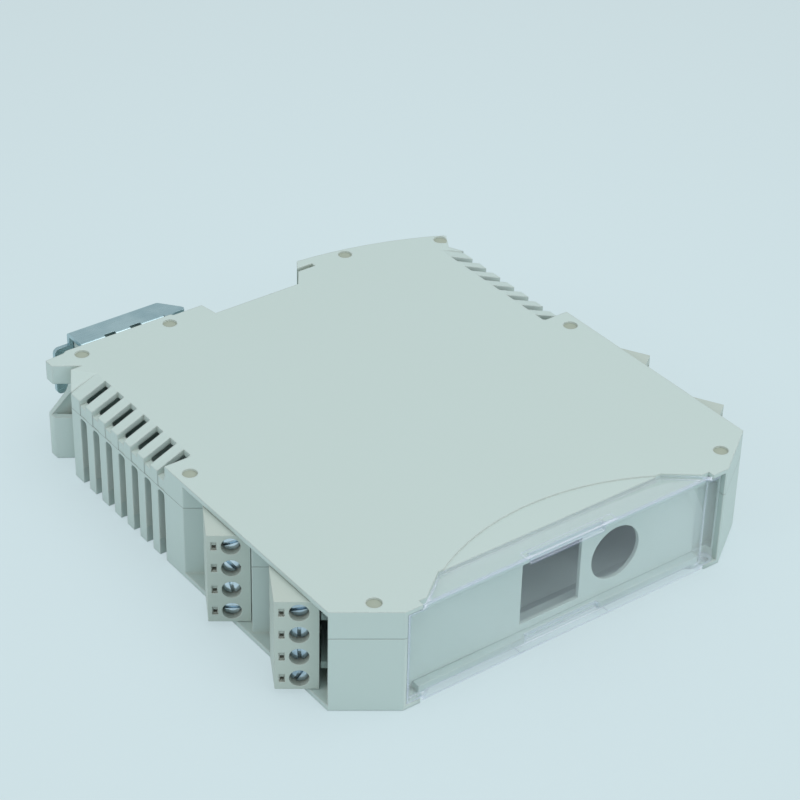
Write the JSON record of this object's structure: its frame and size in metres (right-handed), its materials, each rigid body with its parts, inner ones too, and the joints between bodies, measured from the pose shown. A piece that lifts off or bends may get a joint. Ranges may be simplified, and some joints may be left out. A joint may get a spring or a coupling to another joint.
{
  "type": "din rail enclosure",
  "caption": "Slim two-shell housing for electronics with pluggable screw terminals in slanted bays, a clear hinged front cover and a sprung rail latch, lying on its side.",
  "frame": {"origin": "middle of the lower side plate's outer face, halfway between the front face and the back of the rail latch", "axes": "+X along the height of the housing towards the end with the fixed rail hook, +Y from the front cover towards the rail, +Z across the width, from the side it rests on"},
  "size_m": [0.1087, 0.1146, 0.0225],
  "materials": {
    "housing_plastic": "satin",
    "clear_cover": "clear gloss",
    "latch_zinc": "zinc plated",
    "spring_steel": "drawn wire",
    "plug_plastic": "matt",
    "header_plastic": "matt",
    "contact_tin": "plated",
    "screw_zinc": "zinc plated",
    "cage_steel": "zinc plated"
  },
  "bodies": {
    "housing": {"body_shell": "housing_plastic", "lid_shell": "housing_plastic", "front_panel": "housing_plastic", "latch_spring": "spring_steel", "header_front_left": "header_plastic", "header_rear_left": "header_plastic", "header_front_right": "header_plastic", "header_rear_right": "header_plastic", "header_pins_front_left": "contact_tin", "header_pins_rear_left": "contact_tin", "header_pins_front_right": "contact_tin", "header_pins_rear_right": "contact_tin"},
    "cover": {"front_cover": "clear_cover"},
    "latch": {"rail_latch": "latch_zinc"},
    "plug_front_left": {"plug_front_left": "plug_plastic", "contacts_front_left": "contact_tin"},
    "screw_front_left_1": {"screw_front_left_1": "screw_zinc"},
    "cage_front_left_1": {"cage_front_left_1": "cage_steel"},
    "screw_front_left_2": {"screw_front_left_2": "screw_zinc"},
    "cage_front_left_2": {"cage_front_left_2": "cage_steel"},
    "screw_front_left_3": {"screw_front_left_3": "screw_zinc"},
    "cage_front_left_3": {"cage_front_left_3": "cage_steel"},
    "screw_front_left_4": {"screw_front_left_4": "screw_zinc"},
    "cage_front_left_4": {"cage_front_left_4": "cage_steel"},
    "plug_rear_left": {"plug_rear_left": "plug_plastic", "contacts_rear_left": "contact_tin"},
    "screw_rear_left_1": {"screw_rear_left_1": "screw_zinc"},
    "cage_rear_left_1": {"cage_rear_left_1": "cage_steel"},
    "screw_rear_left_2": {"screw_rear_left_2": "screw_zinc"},
    "cage_rear_left_2": {"cage_rear_left_2": "cage_steel"},
    "screw_rear_left_3": {"screw_rear_left_3": "screw_zinc"},
    "cage_rear_left_3": {"cage_rear_left_3": "cage_steel"},
    "screw_rear_left_4": {"screw_rear_left_4": "screw_zinc"},
    "cage_rear_left_4": {"cage_rear_left_4": "cage_steel"},
    "plug_front_right": {"plug_front_right": "plug_plastic", "contacts_front_right": "contact_tin"},
    "screw_front_right_1": {"screw_front_right_1": "screw_zinc"},
    "cage_front_right_1": {"cage_front_right_1": "cage_steel"},
    "screw_front_right_2": {"screw_front_right_2": "screw_zinc"},
    "cage_front_right_2": {"cage_front_right_2": "cage_steel"},
    "screw_front_right_3": {"screw_front_right_3": "screw_zinc"},
    "cage_front_right_3": {"cage_front_right_3": "cage_steel"},
    "screw_front_right_4": {"screw_front_right_4": "screw_zinc"},
    "cage_front_right_4": {"cage_front_right_4": "cage_steel"},
    "plug_rear_right": {"plug_rear_right": "plug_plastic", "contacts_rear_right": "contact_tin"},
    "screw_rear_right_1": {"screw_rear_right_1": "screw_zinc"},
    "cage_rear_right_1": {"cage_rear_right_1": "cage_steel"},
    "screw_rear_right_2": {"screw_rear_right_2": "screw_zinc"},
    "cage_rear_right_2": {"cage_rear_right_2": "cage_steel"},
    "screw_rear_right_3": {"screw_rear_right_3": "screw_zinc"},
    "cage_rear_right_3": {"cage_rear_right_3": "cage_steel"},
    "screw_rear_right_4": {"screw_rear_right_4": "screw_zinc"},
    "cage_rear_right_4": {"cage_rear_right_4": "cage_steel"}
  },
  "joints": [
    {"name": "cover_hinge", "type": "hinge", "parent": "housing", "child": "cover", "pos_m": [0.036, -0.05575, 0], "axis": [0, 0, 1], "range_deg": [0, 95]},
    {"name": "latch_slide", "type": "slide", "parent": "housing", "child": "latch", "axis": [-1, 0, 0], "range_m": [0, 0.004], "stiffness_N_per_m": 1500, "springref_m": -0.002, "deforming": ["latch_spring"]},
    {"name": "unplug_front_left", "type": "slide", "parent": "housing", "child": "plug_front_left", "axis": [-0.5736, -0.8192, 0], "range_m": [-0.0013, 0.0212]},
    {"name": "turn_front_left_1", "type": "hinge", "parent": "plug_front_left", "child": "screw_front_left_1", "pos_m": [-0.05037, -0.04181, 0.00375], "axis": [0.5736, 0.8192, 0], "range_deg": [0, 1805]},
    {"name": "lift_front_left_1", "type": "slide", "parent": "plug_front_left", "child": "cage_front_left_1", "axis": [-0.5736, -0.8192, 0], "range_m": [0, 0.0025]},
    {"name": "turn_front_left_2", "type": "hinge", "parent": "plug_front_left", "child": "screw_front_left_2", "pos_m": [-0.05037, -0.04181, 0.00875], "axis": [0.5736, 0.8192, 0], "range_deg": [0, 1805]},
    {"name": "lift_front_left_2", "type": "slide", "parent": "plug_front_left", "child": "cage_front_left_2", "axis": [-0.5736, -0.8192, 0], "range_m": [0, 0.0025]},
    {"name": "turn_front_left_3", "type": "hinge", "parent": "plug_front_left", "child": "screw_front_left_3", "pos_m": [-0.05037, -0.04181, 0.01375], "axis": [0.5736, 0.8192, 0], "range_deg": [0, 1805]},
    {"name": "lift_front_left_3", "type": "slide", "parent": "plug_front_left", "child": "cage_front_left_3", "axis": [-0.5736, -0.8192, 0], "range_m": [0, 0.0025]},
    {"name": "turn_front_left_4", "type": "hinge", "parent": "plug_front_left", "child": "screw_front_left_4", "pos_m": [-0.05037, -0.04181, 0.01875], "axis": [0.5736, 0.8192, 0], "range_deg": [0, 1805]},
    {"name": "lift_front_left_4", "type": "slide", "parent": "plug_front_left", "child": "cage_front_left_4", "axis": [-0.5736, -0.8192, 0], "range_m": [0, 0.0025]},
    {"name": "unplug_rear_left", "type": "slide", "parent": "housing", "child": "plug_rear_left", "axis": [-0.5736, -0.8192, 0], "range_m": [0, 0.0225]},
    {"name": "turn_rear_left_1", "type": "hinge", "parent": "plug_rear_left", "child": "screw_rear_left_1", "pos_m": [-0.04963, -0.01855, 0.00375], "axis": [0.5736, 0.8192, 0], "range_deg": [0, 1805]},
    {"name": "lift_rear_left_1", "type": "slide", "parent": "plug_rear_left", "child": "cage_rear_left_1", "axis": [-0.5736, -0.8192, 0], "range_m": [0, 0.0025]},
    {"name": "turn_rear_left_2", "type": "hinge", "parent": "plug_rear_left", "child": "screw_rear_left_2", "pos_m": [-0.04963, -0.01855, 0.00875], "axis": [0.5736, 0.8192, 0], "range_deg": [0, 1805]},
    {"name": "lift_rear_left_2", "type": "slide", "parent": "plug_rear_left", "child": "cage_rear_left_2", "axis": [-0.5736, -0.8192, 0], "range_m": [0, 0.0025]},
    {"name": "turn_rear_left_3", "type": "hinge", "parent": "plug_rear_left", "child": "screw_rear_left_3", "pos_m": [-0.04963, -0.01855, 0.01375], "axis": [0.5736, 0.8192, 0], "range_deg": [0, 1805]},
    {"name": "lift_rear_left_3", "type": "slide", "parent": "plug_rear_left", "child": "cage_rear_left_3", "axis": [-0.5736, -0.8192, 0], "range_m": [0, 0.0025]},
    {"name": "turn_rear_left_4", "type": "hinge", "parent": "plug_rear_left", "child": "screw_rear_left_4", "pos_m": [-0.04963, -0.01855, 0.01875], "axis": [0.5736, 0.8192, 0], "range_deg": [0, 1805]},
    {"name": "lift_rear_left_4", "type": "slide", "parent": "plug_rear_left", "child": "cage_rear_left_4", "axis": [-0.5736, -0.8192, 0], "range_m": [0, 0.0025]},
    {"name": "unplug_front_right", "type": "slide", "parent": "housing", "child": "plug_front_right", "axis": [0.5736, -0.8192, 0], "range_m": [0, 0.0225]},
    {"name": "turn_front_right_1", "type": "hinge", "parent": "plug_front_right", "child": "screw_front_right_1", "pos_m": [0.04963, -0.04075, 0.00375], "axis": [-0.5736, 0.8192, 0], "range_deg": [0, 1805]},
    {"name": "lift_front_right_1", "type": "slide", "parent": "plug_front_right", "child": "cage_front_right_1", "axis": [0.5736, -0.8192, 0], "range_m": [0, 0.0025]},
    {"name": "turn_front_right_2", "type": "hinge", "parent": "plug_front_right", "child": "screw_front_right_2", "pos_m": [0.04963, -0.04075, 0.00875], "axis": [-0.5736, 0.8192, 0], "range_deg": [0, 1805]},
    {"name": "lift_front_right_2", "type": "slide", "parent": "plug_front_right", "child": "cage_front_right_2", "axis": [0.5736, -0.8192, 0], "range_m": [0, 0.0025]},
    {"name": "turn_front_right_3", "type": "hinge", "parent": "plug_front_right", "child": "screw_front_right_3", "pos_m": [0.04963, -0.04075, 0.01375], "axis": [-0.5736, 0.8192, 0], "range_deg": [0, 1805]},
    {"name": "lift_front_right_3", "type": "slide", "parent": "plug_front_right", "child": "cage_front_right_3", "axis": [0.5736, -0.8192, 0], "range_m": [0, 0.0025]},
    {"name": "turn_front_right_4", "type": "hinge", "parent": "plug_front_right", "child": "screw_front_right_4", "pos_m": [0.04963, -0.04075, 0.01875], "axis": [-0.5736, 0.8192, 0], "range_deg": [0, 1805]},
    {"name": "lift_front_right_4", "type": "slide", "parent": "plug_front_right", "child": "cage_front_right_4", "axis": [0.5736, -0.8192, 0], "range_m": [0, 0.0025]},
    {"name": "unplug_rear_right", "type": "slide", "parent": "housing", "child": "plug_rear_right", "axis": [0.5736, -0.8192, 0], "range_m": [0, 0.0225]},
    {"name": "turn_rear_right_1", "type": "hinge", "parent": "plug_rear_right", "child": "screw_rear_right_1", "pos_m": [0.04963, -0.01855, 0.00375], "axis": [-0.5736, 0.8192, 0], "range_deg": [0, 1805]},
    {"name": "lift_rear_right_1", "type": "slide", "parent": "plug_rear_right", "child": "cage_rear_right_1", "axis": [0.5736, -0.8192, 0], "range_m": [0, 0.0025]},
    {"name": "turn_rear_right_2", "type": "hinge", "parent": "plug_rear_right", "child": "screw_rear_right_2", "pos_m": [0.04963, -0.01855, 0.00875], "axis": [-0.5736, 0.8192, 0], "range_deg": [0, 1805]},
    {"name": "lift_rear_right_2", "type": "slide", "parent": "plug_rear_right", "child": "cage_rear_right_2", "axis": [0.5736, -0.8192, 0], "range_m": [0, 0.0025]},
    {"name": "turn_rear_right_3", "type": "hinge", "parent": "plug_rear_right", "child": "screw_rear_right_3", "pos_m": [0.04963, -0.01855, 0.01375], "axis": [-0.5736, 0.8192, 0], "range_deg": [0, 1805]},
    {"name": "lift_rear_right_3", "type": "slide", "parent": "plug_rear_right", "child": "cage_rear_right_3", "axis": [0.5736, -0.8192, 0], "range_m": [0, 0.0025]},
    {"name": "turn_rear_right_4", "type": "hinge", "parent": "plug_rear_right", "child": "screw_rear_right_4", "pos_m": [0.04963, -0.01855, 0.01875], "axis": [-0.5736, 0.8192, 0], "range_deg": [0, 1805]},
    {"name": "lift_rear_right_4", "type": "slide", "parent": "plug_rear_right", "child": "cage_rear_right_4", "axis": [0.5736, -0.8192, 0], "range_m": [0, 0.0025]}
  ],
  "couplings": [
    {"joint": "turn_front_left_1", "follows": "lift_front_left_1", "rad_per_m": 12566},
    {"joint": "turn_front_left_2", "follows": "lift_front_left_2", "rad_per_m": 12566},
    {"joint": "turn_front_left_3", "follows": "lift_front_left_3", "rad_per_m": 12566},
    {"joint": "turn_front_left_4", "follows": "lift_front_left_4", "rad_per_m": 12566},
    {"joint": "turn_rear_left_1", "follows": "lift_rear_left_1", "rad_per_m": 12566},
    {"joint": "turn_rear_left_2", "follows": "lift_rear_left_2", "rad_per_m": 12566},
    {"joint": "turn_rear_left_3", "follows": "lift_rear_left_3", "rad_per_m": 12566},
    {"joint": "turn_rear_left_4", "follows": "lift_rear_left_4", "rad_per_m": 12566},
    {"joint": "turn_front_right_1", "follows": "lift_front_right_1", "rad_per_m": 12566},
    {"joint": "turn_front_right_2", "follows": "lift_front_right_2", "rad_per_m": 12566},
    {"joint": "turn_front_right_3", "follows": "lift_front_right_3", "rad_per_m": 12566},
    {"joint": "turn_front_right_4", "follows": "lift_front_right_4", "rad_per_m": 12566},
    {"joint": "turn_rear_right_1", "follows": "lift_rear_right_1", "rad_per_m": 12566},
    {"joint": "turn_rear_right_2", "follows": "lift_rear_right_2", "rad_per_m": 12566},
    {"joint": "turn_rear_right_3", "follows": "lift_rear_right_3", "rad_per_m": 12566},
    {"joint": "turn_rear_right_4", "follows": "lift_rear_right_4", "rad_per_m": 12566}
  ]
}
